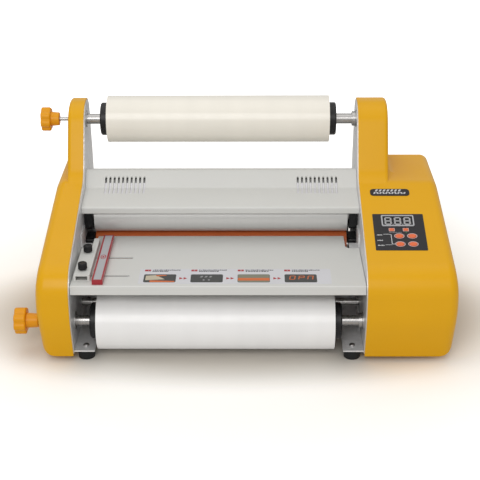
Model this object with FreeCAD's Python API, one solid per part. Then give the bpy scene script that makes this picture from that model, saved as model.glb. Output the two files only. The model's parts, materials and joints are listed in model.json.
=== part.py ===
import FreeCAD, Part
import math
import os

# Desktop hot roll laminator: two film supply rolls, a feed tray, two heated rollers,
# two pull rollers and a drive train between two side plates, with a cover over each end.
# Millimetres, +Z up, +Y to the back. While the parts are made, X = 0 is the middle of the
# gap between the covers, Y = 0 the front of the tray and Z = 0 the bench. Each part is
# then moved so that the origin is the middle of the whole outline on the bench.

V = FreeCAD.Vector

# ---- frame ----
cover_gap = 394.0        # between the inner edges of the two covers
cover_bottom = 8.0       # height of the covers above the bench
cover_wall = 2.5
plate_thickness = 2.0
plate_stand = 1.0        # a side plate's inner face stands this far inside the cover's edge
seat_gap = 0.3           # clearance where one piece is seated in another
run_gap = 0.05           # radial clearance of a shaft in its bearing
motion_gap = 0.3         # clearance between pieces that move past each other

# ---- side covers ----
nose_y = -9.0            # foremost line of the covers
front_foot_y = 5.5       # front edge at the bottom
front_knee_z = 66.0
nose_z = 130.4           # where the front and the slope would meet, before rounding
nose_radius = 42.0
slope_angle = 18.3       # rise of the control slope, degrees
slope_end_y = 182.0      # where the slope meets the top of the wide body
back_y = 301.0
body_back_z = 196.0      # top of the body at the back
arm_foot_y = 189.5       # where the slope meets the arm
arm_front_y = 235.0      # where the arm's front line meets its top
arm_back_y = 290.5
arm_top_z = 291.0
left_arm_width = 23.0
right_arm_width = 43.0
left_nose_width = 45.5   # body widths outside the gap, at the nose, foot and top
left_foot_width = 41.0
left_top_width = 36.0
right_nose_width = 121.5
right_foot_width = 117.0
right_top_width = 110.0
widest_z = 95.0
foot_radius = 19.0
cover_edge_radius = 12.0
arm_edge_radius = 5.5
left_root_radius = 6.0   # blend between each arm and the top of its body
right_root_radius = 12.0
root_start_y = 192.0
root_taper = 24.0        # length over which the blend grows to its full radius

# ---- base, feet and cross members ----
base_top = 16.4
base_thickness = 2.0
base_front_y = 6.3
base_back_y = 298.0
roll_notch_half = 168.0
roll_notch_back = 66.0
rear_panel_top = 103.0
rear_sheet = 1.5
foot_size = 12.5         # foot radius
foot_x = 181.0
front_foot_centre = 21.5
back_foot_centre = 284.0
tie_rod_radius = 5.0
tie_rod_places = ((104.0, 42.0), (284.0, 52.0), (270.0, 157.0))

# ---- tray ----
tray_top = 115.6
tray_sheet = 1.5
tray_lip = 13.6
tray_back_y = 168.5
tray_side_gap = 0.7
tray_notch_half = 176.0
tray_notch_y = 124.0
tray_notch_radius = 8.0
slot_rows = (32.5, 90.5)
slot_width = 4.4
slot_start = -184.0
slot_end = -119.0

# ---- top cover ----
top_sheet = 1.5
top_lip_y = 147.0
top_lip_low = 158.0
top_lip_high = 168.0
top_bend_y = 198.0
top_bend_z = 178.0
ridge_y = 219.0
ridge_z = 201.0
top_back_y = 294.0
top_back_z = 160.0
vent_count = 10
vent_pitch = 6.15
vent_width = 3.0
vent_centre = 138.5
vent_low_y = 183.0
vent_high_y = 210.5

# ---- rollers ----
heat_y = 187.0
nip_z = 117.2
heat_pitch = 23.0        # half the distance between the two heated rollers
nip_gap = 0.3
heat_half = 181.0
heat_journal = 8.0
pull_y = 255.0
pull_pitch = 15.0
pull_half = 182.0
pull_journal = 6.0
lamp_radius = 5.0

# ---- drive ----
gear_module = 2.0
heat_teeth = 23
pull_teeth = 15
idler_teeth = 16
pinion_teeth = 12
gear_near = 203.0
gear_width = 8.0
gear_backlash = 0.5
pinion_angle = 220.0     # direction of the motor pinion from the lower heated roller
motor_radius = 29.0
motor_length = 62.0
gearbox_size = 62.0
gearbox_depth = 26.0

# ---- film supplies ----
film_left = -164.0
film_length = 320.0
upper_y = 252.0
upper_z = 265.0
upper_film_radius = 33.7
upper_shaft_radius = 7.5
upper_chuck_radius = 23.7
lower_y = 35.0
lower_z = 47.5
lower_film_radius = 38.8
lower_shaft_radius = 7.2
lower_chuck_radius = 24.5
core_wall = 2.4
core_bore = 12.7
chuck_width = 10.0
shaft_half = 206.0
bush_rim = 1.2
collar_width = 5.0

# ---- tension knobs ----
stud_radius = 2.8
upper_knob_start = 235.0     # distance of the knob's neck from the middle
upper_neck_length = 12.0
upper_head_length = 14.0
upper_head_radius = 17.5
lower_knob_start = 246.0
lower_neck_length = 16.0
lower_head_length = 16.0
lower_head_radius = 18.5
neck_radius = 9.5
knob_lobes = 7

# ---- paper guide ----
guide_left = -192.0
guide_front = 15.0
guide_step_y = 103.0
guide_back = 138.0
guide_right = -170.4
guide_step_x = -178.0
guide_height = 9.0
guide_wall = 1.2
bar_left = -166.5
bar_right = -152.0
bar_front = 4.0
bar_back = 155.0
bar_height = 7.0
bar_rim = 2.2
guide_travel = 31.0
clamp_radius = 6.2
clamp_height = 9.0
clamp_x = -181.4

# ---- controls ----
panel_left = 210.5
panel_right = 280.0
panel_low = 1.5          # distances up the slope, from the slope line's start at slope_origin_y
panel_high = 76.0
panel_sheet = 0.4
slope_origin_y = 42.0
display_left = 222.0
display_right = 266.5
display_low = 50.0
display_high = 72.5
bezel_wall = 1.8
bezel_height = 1.2
button_columns = (244.0, 261.4)
button_rows = (13.5, 29.8)
button_length = 10.4
button_width = 7.0
button_proud = 1.3
button_travel = 0.8
lens_radius = 2.4
lens_places = ((234.8, 43.6), (253.9, 43.6))
badge_left = 211.0
badge_right = 266.0
badge_low = 115.5
badge_high = 130.0
badge_sheet = 1.2
board_depth = 12.0
board_sheet = 1.6

# ---- mains inlet and switch, on the back of the right cover ----
inlet_x = 262.0
inlet_z = 46.0
rocker_z = 82.0

cover_edge = cover_gap / 2
plate_inner = cover_edge - plate_stand
plate_outer = plate_inner + plate_thickness
slope_rise = math.tan(math.radians(slope_angle))
arm_foot_z = nose_z + (arm_foot_y - nose_y) * slope_rise
slope_end_z = nose_z + (slope_end_y - nose_y) * slope_rise
heat_low_z = nip_z - heat_pitch
heat_high_z = nip_z + heat_pitch
pull_low_z = nip_z - pull_pitch
pull_high_z = nip_z + pull_pitch
heat_radius = heat_pitch - nip_gap / 2
pull_radius = pull_pitch - nip_gap / 2
film_right = film_left + film_length
knob_end = lower_knob_start + lower_neck_length + lower_head_length
outline_centre_x = (cover_edge + right_nose_width - knob_end) / 2
outline_centre_y = (nose_y + back_y) / 2

os.makedirs("parts", exist_ok=True)


# ---- helpers ----
def write(name, *pieces):
    """Move the pieces of one node to the object's own frame and write them."""
    moved = []
    for piece in pieces:
        copy = piece.copy()
        copy.translate(V(-outline_centre_x, -outline_centre_y, 0))
        moved.append(copy)
    shape = moved[0] if len(moved) == 1 else Part.makeCompound(moved)
    shape.exportStep("parts/" + name + ".step")


def box(x0, x1, y0, y1, z0, z1):
    return Part.makeBox(x1 - x0, y1 - y0, z1 - z0, V(x0, y0, z0))


def rod(radius, x0, x1, y, z):
    """Round bar along X."""
    return Part.makeCylinder(radius, x1 - x0, V(x0, y, z), V(1, 0, 0))


def ring(outer, inner, x0, x1, y, z):
    return rod(outer, x0, x1, y, z).cut(rod(inner, x0 - 1, x1 + 1, y, z))


def peg(radius, x, y, z0, z1):
    """Round bar along Z."""
    return Part.makeCylinder(radius, z1 - z0, V(x, y, z0))


def join(pieces):
    whole = pieces[0]
    for piece in pieces[1:]:
        whole = whole.fuse(piece)
    return whole.removeSplitter()


def cut_all(shape, tools):
    for tool in tools:
        shape = shape.cut(tool)
    return shape


def side_view(a, b):
    return V(0, a, b)


def front_view(a, b):
    return V(a, 0, b)


def plan_view(a, b):
    return V(a, b, 0)


def outline(corners, view):
    """Flat face with straight sides; each corner is (a, b, radius of its round)."""
    spans = []
    for index, corner in enumerate(corners):
        point = V(corner[0], corner[1], 0)
        before = corners[index - 1]
        after = corners[(index + 1) % len(corners)]
        back = (V(before[0], before[1], 0) - point).normalize()
        ahead = (V(after[0], after[1], 0) - point).normalize()
        radius = corner[2]
        if radius == 0:
            spans.append((point, point, point))
            continue
        half = back.getAngle(ahead) / 2
        run = radius / math.tan(half)
        inward = (back + ahead).normalize()
        middle = point + inward * (radius / math.sin(half) - radius)
        spans.append((point + back * run, middle, point + ahead * run))
    edges = []
    for index, span in enumerate(spans):
        start, middle, end = [view(p.x, p.y) for p in span]
        following = spans[(index + 1) % len(spans)][0]
        target = view(following.x, following.y)
        if start.distanceToPoint(end) > 1e-6:
            edges.append(Part.Arc(start, middle, end).toShape())
        if end.distanceToPoint(target) > 1e-6:
            edges.append(Part.LineSegment(end, target).toShape())
    return Part.Face(Part.Wire(edges))


def inset(corners, depth):
    """The same outline moved inwards by depth, for corners listed anticlockwise."""
    moved = []
    for index, corner in enumerate(corners):
        point = V(corner[0], corner[1], 0)
        before = corners[index - 1]
        after = corners[(index + 1) % len(corners)]
        arriving = (point - V(before[0], before[1], 0)).normalize()
        leaving = (V(after[0], after[1], 0) - point).normalize()
        turn = arriving.x * leaving.y - arriving.y * leaving.x
        normal = V(-arriving.y - leaving.y, arriving.x + leaving.x, 0).normalize()
        reach = depth / (normal.x * -arriving.y + normal.y * arriving.x)
        radius = corner[2]
        if radius > 0:
            radius = max(radius - depth, 0.5) if turn > 0 else radius + depth
        moved.append((point.x + normal.x * reach, point.y + normal.y * reach, radius))
    return moved


def sheet(path, thickness, view):
    """Flat face of a bent sheet. The path is its left side; each point has a bend radius."""
    other = []
    for index, corner in enumerate(path):
        point = V(corner[0], corner[1], 0)
        before = path[max(index - 1, 0)]
        after = path[min(index + 1, len(path) - 1)]
        arriving = (point - V(before[0], before[1], 0)) if index > 0 else None
        leaving = (V(after[0], after[1], 0) - point) if index < len(path) - 1 else None
        first = (arriving or leaving).normalize()
        second = (leaving or arriving).normalize()
        turn = first.x * second.y - first.y * second.x
        normal = V(first.y + second.y, -first.x - second.x, 0).normalize()
        reach = thickness / (normal.x * first.y - normal.y * first.x)
        radius = corner[2]
        if radius > 0:
            radius = radius + thickness if turn > 0 else max(radius - thickness, 0.2)
        other.append((point.x + normal.x * reach, point.y + normal.y * reach, radius))
    return outline(list(path) + other[::-1], view)


def extrude_x(face, x0, x1):
    solid = face.extrude(V(x1 - x0, 0, 0))
    solid.translate(V(x0, 0, 0))
    return solid


def extrude_y(face, y0, y1):
    solid = face.extrude(V(0, y1 - y0, 0))
    solid.translate(V(0, y0, 0))
    return solid


def extrude_z(face, z0, z1):
    solid = face.extrude(V(0, 0, z1 - z0))
    solid.translate(V(0, 0, z0))
    return solid


def mirror(shape):
    return shape.mirror(V(0, 0, 0), V(1, 0, 0))


def coil(radius, wire, pitch, turns, x0, y, z):
    """Helical spring along X."""
    helix = Part.makeHelix(pitch, pitch * turns, radius)
    section = Part.Wire(Part.makeCircle(wire, V(radius, 0, 0), V(0, 1, 0)))
    spring = Part.Wire(helix.Edges).makePipeShell([section], True, True)
    spring.rotate(V(0, 0, 0), V(0, 1, 0), 90)
    spring.translate(V(x0, y, z))
    return spring


def on_slope(shape):
    """Place a piece drawn flat, with x across, y up the slope and z out of the cover."""
    start_z = nose_z + (slope_origin_y - nose_y) * slope_rise
    shape.rotate(V(0, 0, 0), V(1, 0, 0), slope_angle)
    shape.translate(V(0, slope_origin_y, start_z))
    return shape


def pill(length, width, x, y, z0, z1):
    """Upright block with round ends, long side across."""
    half = length / 2
    corner = width / 2 - 0.01
    corners = [(x - half, y - width / 2, corner), (x + half, y - width / 2, corner),
               (x + half, y + width / 2, corner), (x - half, y + width / 2, corner)]
    return extrude_z(outline(corners, plan_view), z0, z1)


def plate_rect(x0, x1, y0, y1, z0, z1, radius):
    corners = [(x0, y0, radius), (x1, y0, radius), (x1, y1, radius), (x0, y1, radius)]
    return extrude_z(outline(corners, plan_view), z0, z1)


def sharp_edges(shape, keep):
    """Edges whose two faces meet at more than 20 degrees."""
    found = []
    for edge in shape.Edges:
        faces = shape.ancestorsOfType(edge, Part.Face)
        if len(faces) != 2:
            continue
        point = edge.valueAt((edge.FirstParameter + edge.LastParameter) / 2)
        normals = []
        for face in faces:
            u, v = face.Surface.parameter(point)
            normals.append(face.normalAt(u, v))
        if normals[0].getAngle(normals[1]) > math.radians(20) and keep(edge):
            found.append(edge)
    return found


def lies_at(edge, axis, value):
    bounds = edge.BoundBox
    low = (bounds.XMin, bounds.YMin, bounds.ZMin)[axis]
    high = (bounds.XMax, bounds.YMax, bounds.ZMax)[axis]
    return abs(low - value) < 0.01 and abs(high - value) < 0.01


# ---- side covers and side plates ----
def body_profile(low):
    """Outline of the wide body, seen from the side, with its bottom at the height low."""
    lean = (front_foot_y - nose_y + 0.5) / (front_knee_z - cover_bottom)
    return [(nose_y, nose_z, nose_radius), (nose_y - 0.5, front_knee_z, 110),
            (front_foot_y + (cover_bottom - low) * lean, low, 0), (back_y, low, 0),
            (back_y, body_back_z, cover_edge_radius), (slope_end_y, slope_end_z, 40)]


def arm_profile():
    return [(nose_y, nose_z, nose_radius), (nose_y - 0.5, front_knee_z, 110),
            (front_foot_y, cover_bottom, 0), (back_y, cover_bottom, 0),
            (back_y, body_back_z, 100), (arm_back_y, arm_top_z, 25),
            (arm_front_y, arm_top_z, 40), (arm_foot_y, arm_foot_z, 33)]


def body_section(nose_width, foot_width, top_width, low, inner):
    """Cross section of the wide body, seen from the front, from its inner side to its outer."""
    top = max(slope_end_z, body_back_z) + 5
    lean = (nose_width - foot_width) / (widest_z - cover_bottom)
    low_edge = cover_edge + foot_width + (low - cover_bottom) * lean
    return [(inner, low, 0), (low_edge, low, 0), (cover_edge + nose_width, widest_z, 300),
            (cover_edge + top_width, body_back_z, 0),
            (cover_edge + top_width - 1, top, 0), (inner, top, 0)]


def body_form(nose_width, foot_width, top_width, depth):
    """Form of the wide body, moved in from its outside by depth: rounded outer edges, then
    cut level at the bottom. A form with a depth runs out through the side of the gap."""
    deep = cover_bottom - 40
    inner = cover_edge if depth == 0 else cover_edge - 12
    reach = cover_edge + nose_width + 20
    blank = extrude_x(outline(inset(body_profile(deep), depth), side_view), inner, reach)
    corners = inset(body_section(nose_width, foot_width, top_width, deep, inner), depth)
    section = outline(corners, front_view)
    blank = blank.common(extrude_y(section, nose_y - 20, back_y + 20))
    blank = blank.makeFillet(cover_edge_radius - depth, sharp_edges(blank, lambda edge: not (
        lies_at(edge, 0, corners[0][0]) or lies_at(edge, 2, deep + depth))))
    lean = (nose_width - foot_width) / (widest_z - cover_bottom)
    tangent_z = cover_bottom + 2 * foot_radius
    trim = [(cover_edge - 20, cover_bottom, 0),
            (cover_edge + foot_width, cover_bottom, foot_radius),
            (cover_edge + foot_width + lean * (tangent_z - cover_bottom), tangent_z, 0),
            (reach + 5, tangent_z, 0), (reach + 5, arm_top_z, 0), (cover_edge - 20, arm_top_z, 0)]
    return blank.common(extrude_y(outline(inset(trim, depth), front_view),
                                  nose_y - 20, back_y + 20))


def arm_block(arm_width):
    """Outer form of the arm, which starts above the nose, inside the body."""
    arm = extrude_x(outline(arm_profile(), side_view), cover_edge, cover_edge + arm_width)
    arm = arm.makeFillet(arm_edge_radius, [
        edge for edge in arm.Edges
        if lies_at(edge, 0, cover_edge + arm_width) and edge.BoundBox.ZMax > cover_bottom + 1])
    return arm.common(box(0, 400, nose_y, back_y + 1, nose_z + 20, arm_top_z + 1))


def root_fillet(arm_width, top_width, radius):
    """Concave blend where the arm rises from the body's top. It fades out at both ends."""
    rise = math.atan2(body_back_z - slope_end_z, back_y - slope_end_y)
    reach = back_y - cover_edge_radius - root_start_y
    ledge = top_width - arm_width - 0.9 * cover_edge_radius
    over = max(radius - ledge, 0)
    height = math.sqrt((cover_edge_radius + radius) ** 2 - over ** 2) - cover_edge_radius
    foot = radius - over * radius / (cover_edge_radius + radius)
    plan = [(-1, 0, 0), (0, 0, 0), (foot, root_taper, 0), (foot, reach - root_taper, 0),
            (0, reach, 0), (-1, reach, 0)]
    side = [(0, -2, 0), (reach, -2, 0), (reach, 0, 0), (reach - root_taper, height, 0),
            (root_taper, height, 0), (0, 0, 0)]
    bar = extrude_z(outline(plan, plan_view), -3, height + 1)
    bar = bar.common(extrude_x(outline(side, side_view), -2, radius + 1))
    bar = bar.cut(Part.makeCylinder(radius, reach - 2 * root_taper, V(radius, root_taper, height),
                                    V(0, 1, 0)))
    length = V(radius, root_taper, height).Length
    wide = 1.6 * length * math.tan(math.asin(radius / length))
    for start, way in ((0, 1), (reach, -1)):
        bar = bar.cut(Part.makeCone(0, wide, 1.6 * length, V(0, start, 0),
                                    V(radius, way * root_taper, height)))
    bar.rotate(V(0, 0, 0), V(1, 0, 0), math.degrees(rise))
    bar.translate(V(cover_edge + arm_width, root_start_y,
                    slope_end_z + (root_start_y - slope_end_y) * math.tan(rise)))
    return bar


def side_cover(arm_width, nose_width, foot_width, top_width, root_radius):
    outer = body_form(nose_width, foot_width, top_width, 0).fuse(arm_block(arm_width))
    outer = outer.fuse(root_fillet(arm_width, top_width, root_radius))
    arm_face = outline(inset(arm_profile(), cover_wall), side_view)
    hollow = extrude_x(arm_face, cover_edge - 8, cover_edge + arm_width - cover_wall)
    hollow = hollow.fuse(body_form(nose_width, foot_width, top_width, cover_wall))
    return outer.cut(hollow).removeSplitter()


def plate_bores(shape):
    """Clear holes in a side plate for everything that passes through it."""
    for radius, y, z in ((11, upper_y, upper_z), (11, lower_y, lower_z),
                         (heat_journal + 0.5, heat_y, heat_low_z),
                         (heat_journal + 0.5, heat_y, heat_high_z),
                         (9, pull_y, pull_low_z), (9, pull_y, pull_high_z)):
        shape = shape.cut(rod(radius + seat_gap / 2, 0, 400, y, z))
    return shape


def side_plate():
    edge = inset(arm_profile(), cover_wall + seat_gap)
    return plate_bores(extrude_x(outline(edge, side_view), plate_inner, plate_outer))


def lens_hole(x, y):
    return Part.makeCylinder(lens_radius + seat_gap, 8, V(x, y, -6))


def make_covers():
    left = mirror(side_cover(left_arm_width, left_nose_width, left_foot_width, left_top_width,
                             left_root_radius))
    studs = [(upper_y, upper_z), (lower_y, lower_z)]
    for y, z in studs:
        left = left.cut(rod(stud_radius + 1.2, -300, -cover_edge - 10, y, z))
    right = side_cover(right_arm_width, right_nose_width, right_foot_width, right_top_width,
                       right_root_radius)
    openings = [pill(button_length + 2 * seat_gap, button_width + 2 * seat_gap, x, y, -8, 4)
                for x in button_columns for y in button_rows]
    openings += [lens_hole(x, y) for x, y in lens_places]
    openings.append(plate_rect(display_left + 3, display_right - 3, display_low + 3,
                               display_high - 3, -8, 4, 1))
    right = cut_all(right, [on_slope(tool) for tool in openings])
    posts = [Part.makeCylinder(3, board_depth - cover_wall + 0.5, V(x, y, -board_depth))
             for x in (panel_left + 7, panel_right + 5) for y in (panel_low + 6, panel_high - 4)]
    right = join([right] + [on_slope(post) for post in posts])
    right = cut_all(right, [
        box(inlet_x - 14.2, inlet_x + 14.2, back_y - 10, back_y + 5, inlet_z - 10.2, inlet_z + 10.2),
        box(inlet_x - 10.2, inlet_x + 10.2, back_y - 10, back_y + 5, rocker_z - 7.2, rocker_z + 7.2)])
    write("left_cover", left)
    write("right_cover", right)
    plate = side_plate()
    write("left_side_plate", mirror(plate))
    write("right_side_plate", plate)


# ---- base, feet, tie rods and rear panel ----
def make_base():
    half = plate_inner - seat_gap
    low = base_top - base_thickness
    pan = box(-half, half, base_front_y, base_back_y, low, base_top)
    notch = [(-roll_notch_half, base_front_y - 5, 0), (roll_notch_half, base_front_y - 5, 0),
             (roll_notch_half, roll_notch_back, 6), (-roll_notch_half, roll_notch_back, 6)]
    lip = box(-half, half, base_back_y - base_thickness, base_back_y, base_top, base_top + 12)
    flange = box(half - base_thickness, half, 75, base_back_y, base_top, base_top + 14)
    pan = join([pan, lip, flange, mirror(flange)])
    pan = pan.cut(extrude_z(outline(notch, plan_view), 0, base_top + 5))
    foot_places = [(side * foot_x, y) for side in (-1, 1)
                   for y in (front_foot_centre, back_foot_centre)]
    pan = cut_all(pan, [peg(2.3, x, y, low - 1, base_top + 1) for x, y in foot_places])
    write("base_plate", pan)
    feet = []
    screws = []
    for x, y in foot_places:
        foot = Part.makeCone(foot_size - 1.5, foot_size, low, V(x, y, 0))
        foot = foot.cut(peg(2.3, x, y, low - 8, low + 1))
        feet.append(foot)
        shank = peg(2.2, x, y, low - 7, base_top)
        head = peg(4, x, y, base_top, base_top + 2.4)
        screws.append(join([shank, head.makeFillet(1.2, [head.Edges[0]])]))
    write("feet", *feet)
    panel_y = base_back_y - base_thickness - rear_sheet
    panel = sheet([(panel_y, base_top, 0), (panel_y, rear_panel_top, 2),
                   (panel_y - 10, rear_panel_top, 0)], rear_sheet, side_view)
    panel_half = half - base_thickness
    write("rear_panel", extrude_x(panel, -panel_half, panel_half))
    return screws


# ---- tray ----
def make_tray():
    half = plate_inner - tray_side_gap
    path = [(8, tray_top - tray_lip, 0), (0, tray_top - tray_lip, 1.6), (0, tray_top, 1.8),
            (tray_back_y, tray_top, 1.8), (tray_back_y, tray_top - 6, 0)]
    tray = extrude_x(sheet(path, tray_sheet, side_view), -half, half)
    wing = box(half - tray_sheet, half, 1.0, tray_notch_y - 1, tray_top - 12, tray_top - 1)
    tray = join([tray, wing, mirror(wing)])
    reach = half + 5
    corner = [(tray_notch_half, tray_notch_y, tray_notch_radius), (reach, tray_notch_y, 0),
              (reach, tray_back_y + 5, 0), (tray_notch_half, tray_back_y + 5, 0)]
    notch = extrude_z(outline(corner, plan_view), tray_top - 20, tray_top + 5)
    slots = [pill(slot_end - slot_start, slot_width, (slot_start + slot_end) / 2, y,
                  tray_top - 5, tray_top + 5) for y in slot_rows]
    tray = cut_all(tray, [notch, mirror(notch)] + slots)
    write("feed_tray", tray)
    ledge = join([box(tray_notch_half + 6, plate_inner, tray_notch_y + 1.5, 146,
                      tray_top - 3.5, tray_top - 1.5),
                  box(plate_inner - 2, plate_inner, tray_notch_y + 1.5, 160,
                      tray_top - 16, tray_top + 20)])
    ledge = ledge.makeFillet(4, [edge for edge in ledge.Edges
                                 if lies_at(edge, 0, tray_notch_half + 6)
                                 and lies_at(edge, 1, tray_notch_y + 1.5)])
    write("tray_end_brackets", ledge, mirror(ledge))


# ---- top cover ----
def top_path():
    return [(top_lip_y + 6, top_lip_low, 0), (top_lip_y, top_lip_low, 1.8),
            (top_lip_y, top_lip_high, 3), (top_bend_y, top_bend_z, 6),
            (ridge_y, ridge_z, 7), (top_back_y, top_back_z, 3),
            (top_back_y, top_back_z - 9, 0)]


def make_top():
    half = plate_inner - seat_gap
    skin = extrude_x(sheet(top_path(), top_sheet, side_view), -half, half)
    flange_face = sheet(top_path()[2:6], 8, side_view)
    flange = extrude_x(flange_face, half - top_sheet, half)
    skin = join([skin, flange, mirror(flange)])
    vents = []
    for group in (-1, 1):
        for index in range(vent_count):
            x = group * vent_centre + (index - (vent_count - 1) / 2) * vent_pitch
            slot = [(x - vent_width / 2, vent_low_y, 1.49), (x + vent_width / 2, vent_low_y, 1.49),
                    (x + vent_width / 2, vent_high_y, 1.49), (x - vent_width / 2, vent_high_y, 1.49)]
            vents.append(extrude_z(outline(slot, plan_view), top_lip_high, ridge_z))
    write("top_cover", cut_all(skin, vents))
    shield = [(174, 163.5, 0), (176, 169.2, 3), (top_bend_y + 4, top_bend_z - 4.6, 4),
              (ridge_y - 2, ridge_z - 18, 2), (ridge_y + 6, ridge_z - 19, 0)]
    shield_face = sheet([(y, z + 1.5, r) for y, z, r in shield], 1.0, side_view)
    write("heat_shield", extrude_x(shield_face, -half + top_sheet + 0.4, half - top_sheet - 0.4))


# ---- rollers, bearings and lamp ----
def heat_tube(z):
    return ring(heat_radius, 18, -heat_half, heat_half, heat_y, z)


def journal_disc(x0, x1, z, bore):
    disc = rod(18, x0, x0 + 6, heat_y, z).fuse(rod(heat_journal, x0, x1, heat_y, z))
    return disc.cut(rod(bore, x0 - 1, x1 + 1, heat_y, z))


def lamp_holder(x0):
    """Ceramic socket of the lamp, hung from the side plate over the gear."""
    socket = box(x0, x0 + 8, heat_y - 8, heat_y + 8, heat_high_z - 8, heat_high_z + 8)
    socket = socket.cut(rod(lamp_radius + run_gap, x0 - 1, x0 + 9, heat_y, heat_high_z))
    over_gear = heat_high_z + heat_pitch + gear_module + 2
    strip = box(plate_outer, x0 + 8, heat_y - 3, heat_y + 3, over_gear, over_gear + 3)
    drop = box(x0, x0 + 3, heat_y - 3, heat_y + 3, heat_high_z + 7, over_gear + 3)
    return join([socket, strip, drop])


def make_rollers():
    gear_end = gear_near + gear_width + 1
    write("upper_heat_roller", heat_tube(heat_high_z))
    right = journal_disc(heat_half - 8, gear_end, heat_high_z, lamp_radius + 0.6)
    left = mirror(journal_disc(heat_half - 8, plate_outer + 2, heat_high_z, lamp_radius + 0.6))
    write("upper_heat_journals", right, left)
    write("lower_heat_sleeve", ring(heat_radius, 17, -heat_half, heat_half, heat_y, heat_low_z))
    core = join([rod(17, -heat_half, heat_half, heat_y, heat_low_z),
                 rod(heat_journal, -plate_outer - 2, gear_end, heat_y, heat_low_z)])
    write("lower_heat_core", core)
    blocks = []
    for z0, z1, z in ((heat_high_z - 15, heat_high_z + 10, heat_high_z),
                      (heat_low_z - 17, heat_low_z + 15, heat_low_z)):
        block = box(heat_half + 3, plate_inner, heat_y - 16, heat_y + 16, z0, z1)
        block = block.makeFillet(3, [edge for edge in block.Edges
                                     if abs(edge.tangentAt(edge.FirstParameter).x) > 0.9])
        block = block.cut(rod(heat_journal + run_gap, heat_half, plate_outer, heat_y, z))
        blocks += [block, mirror(block)]
    write("heat_roller_bearings", *blocks)
    bushes = []
    for z in (pull_high_z, pull_low_z):
        bush = join([rod(9, plate_inner, plate_outer + 1, pull_y, z),
                     rod(11, plate_inner - 5, plate_inner, pull_y, z)])
        bush = bush.cut(rod(pull_journal + run_gap, 180, 220, pull_y, z))
        bushes += [bush, mirror(bush)]
    springs = []
    stops = []
    for side in (-1, 1):
        spring = coil(3.6, 0.7, 1.8, 3, 0, 0, 0)
        spring.rotate(V(0, 0, 0), V(0, 1, 0), -90)
        spring.translate(V(side * (heat_half + 8), heat_y - 8, heat_high_z + 10.9))
        springs.append(spring)
        stop = box(heat_half + 3, plate_inner, heat_y - 13, heat_y - 2, heat_high_z + 17.3,
                   heat_high_z + 18.8)
        stops.append(stop if side > 0 else mirror(stop))
    right_socket = gear_end + 2
    left_socket = plate_outer + 4
    lamp = rod(lamp_radius, -left_socket - 6, right_socket + 6, heat_y, heat_high_z)
    write("heat_lamp", lamp, lamp_holder(right_socket), mirror(lamp_holder(left_socket)))
    return bushes, springs + stops


# ---- gears ----
def involute(angle):
    return math.tan(angle) - angle


def tooth_half_angle(radius, teeth):
    """Half the angle that a tooth covers at this radius, for 20 degree involute teeth."""
    pitch = gear_module * teeth / 2
    base = pitch * math.cos(math.radians(20))
    pressure = math.acos(min(1.0, base / radius))
    width = math.pi * gear_module / 2 - gear_backlash
    return width / (2 * pitch) + involute(math.radians(20)) - involute(pressure)


def gear(teeth, y, z, bore, first_tooth):
    """Spur gear on an axis along X, with a tooth centred at the angle first_tooth."""
    pitch = gear_module * teeth / 2
    base = pitch * math.cos(math.radians(20))
    root = pitch - 1.25 * gear_module
    tip = pitch + 0.95 * gear_module
    start = max(base, root) + 0.02
    flank = [start, (start + pitch) / 2, pitch, (pitch + tip) / 2, tip]
    points = []
    for index in range(teeth):
        centre = first_tooth + 2 * math.pi * index / teeth
        foot = tooth_half_angle(start, teeth)
        rising = [(root, centre - foot)] + [
            (radius, centre - tooth_half_angle(radius, teeth)) for radius in flank]
        falling = [(radius, 2 * centre - angle) for radius, angle in reversed(rising)]
        points += rising + falling
    ends = [V(0, y + radius * math.cos(angle), z + radius * math.sin(angle))
            for radius, angle in points]
    face = Part.Face(Part.makePolygon(ends + [ends[0]]))
    blank = extrude_x(face, gear_near, gear_near + gear_width)
    return blank.cut(rod(bore, gear_near - 1, gear_near + gear_width + 1, y, z))


def meshing_tooth(teeth, first_tooth, direction, other_teeth):
    """Angle of a tooth of the second gear, so that it meshes with the first."""
    share = (direction - first_tooth) / (2 * math.pi / teeth)
    return direction + math.pi - (0.5 - share) * 2 * math.pi / other_teeth


def idler_place():
    """The idler touches the pitch circles of both lower rollers' gears, below their line."""
    to_heat = gear_module * (heat_teeth + idler_teeth) / 2
    to_pull = gear_module * (pull_teeth + idler_teeth) / 2
    span_y = pull_y - heat_y
    span_z = pull_low_z - heat_low_z
    span = math.hypot(span_y, span_z)
    along = (to_heat ** 2 - to_pull ** 2 + span ** 2) / (2 * span)
    below = math.sqrt(to_heat ** 2 - along ** 2)
    y = heat_y + (along * span_y + below * span_z) / span
    z = heat_low_z + (along * span_z - below * span_y) / span
    return y, z


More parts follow.
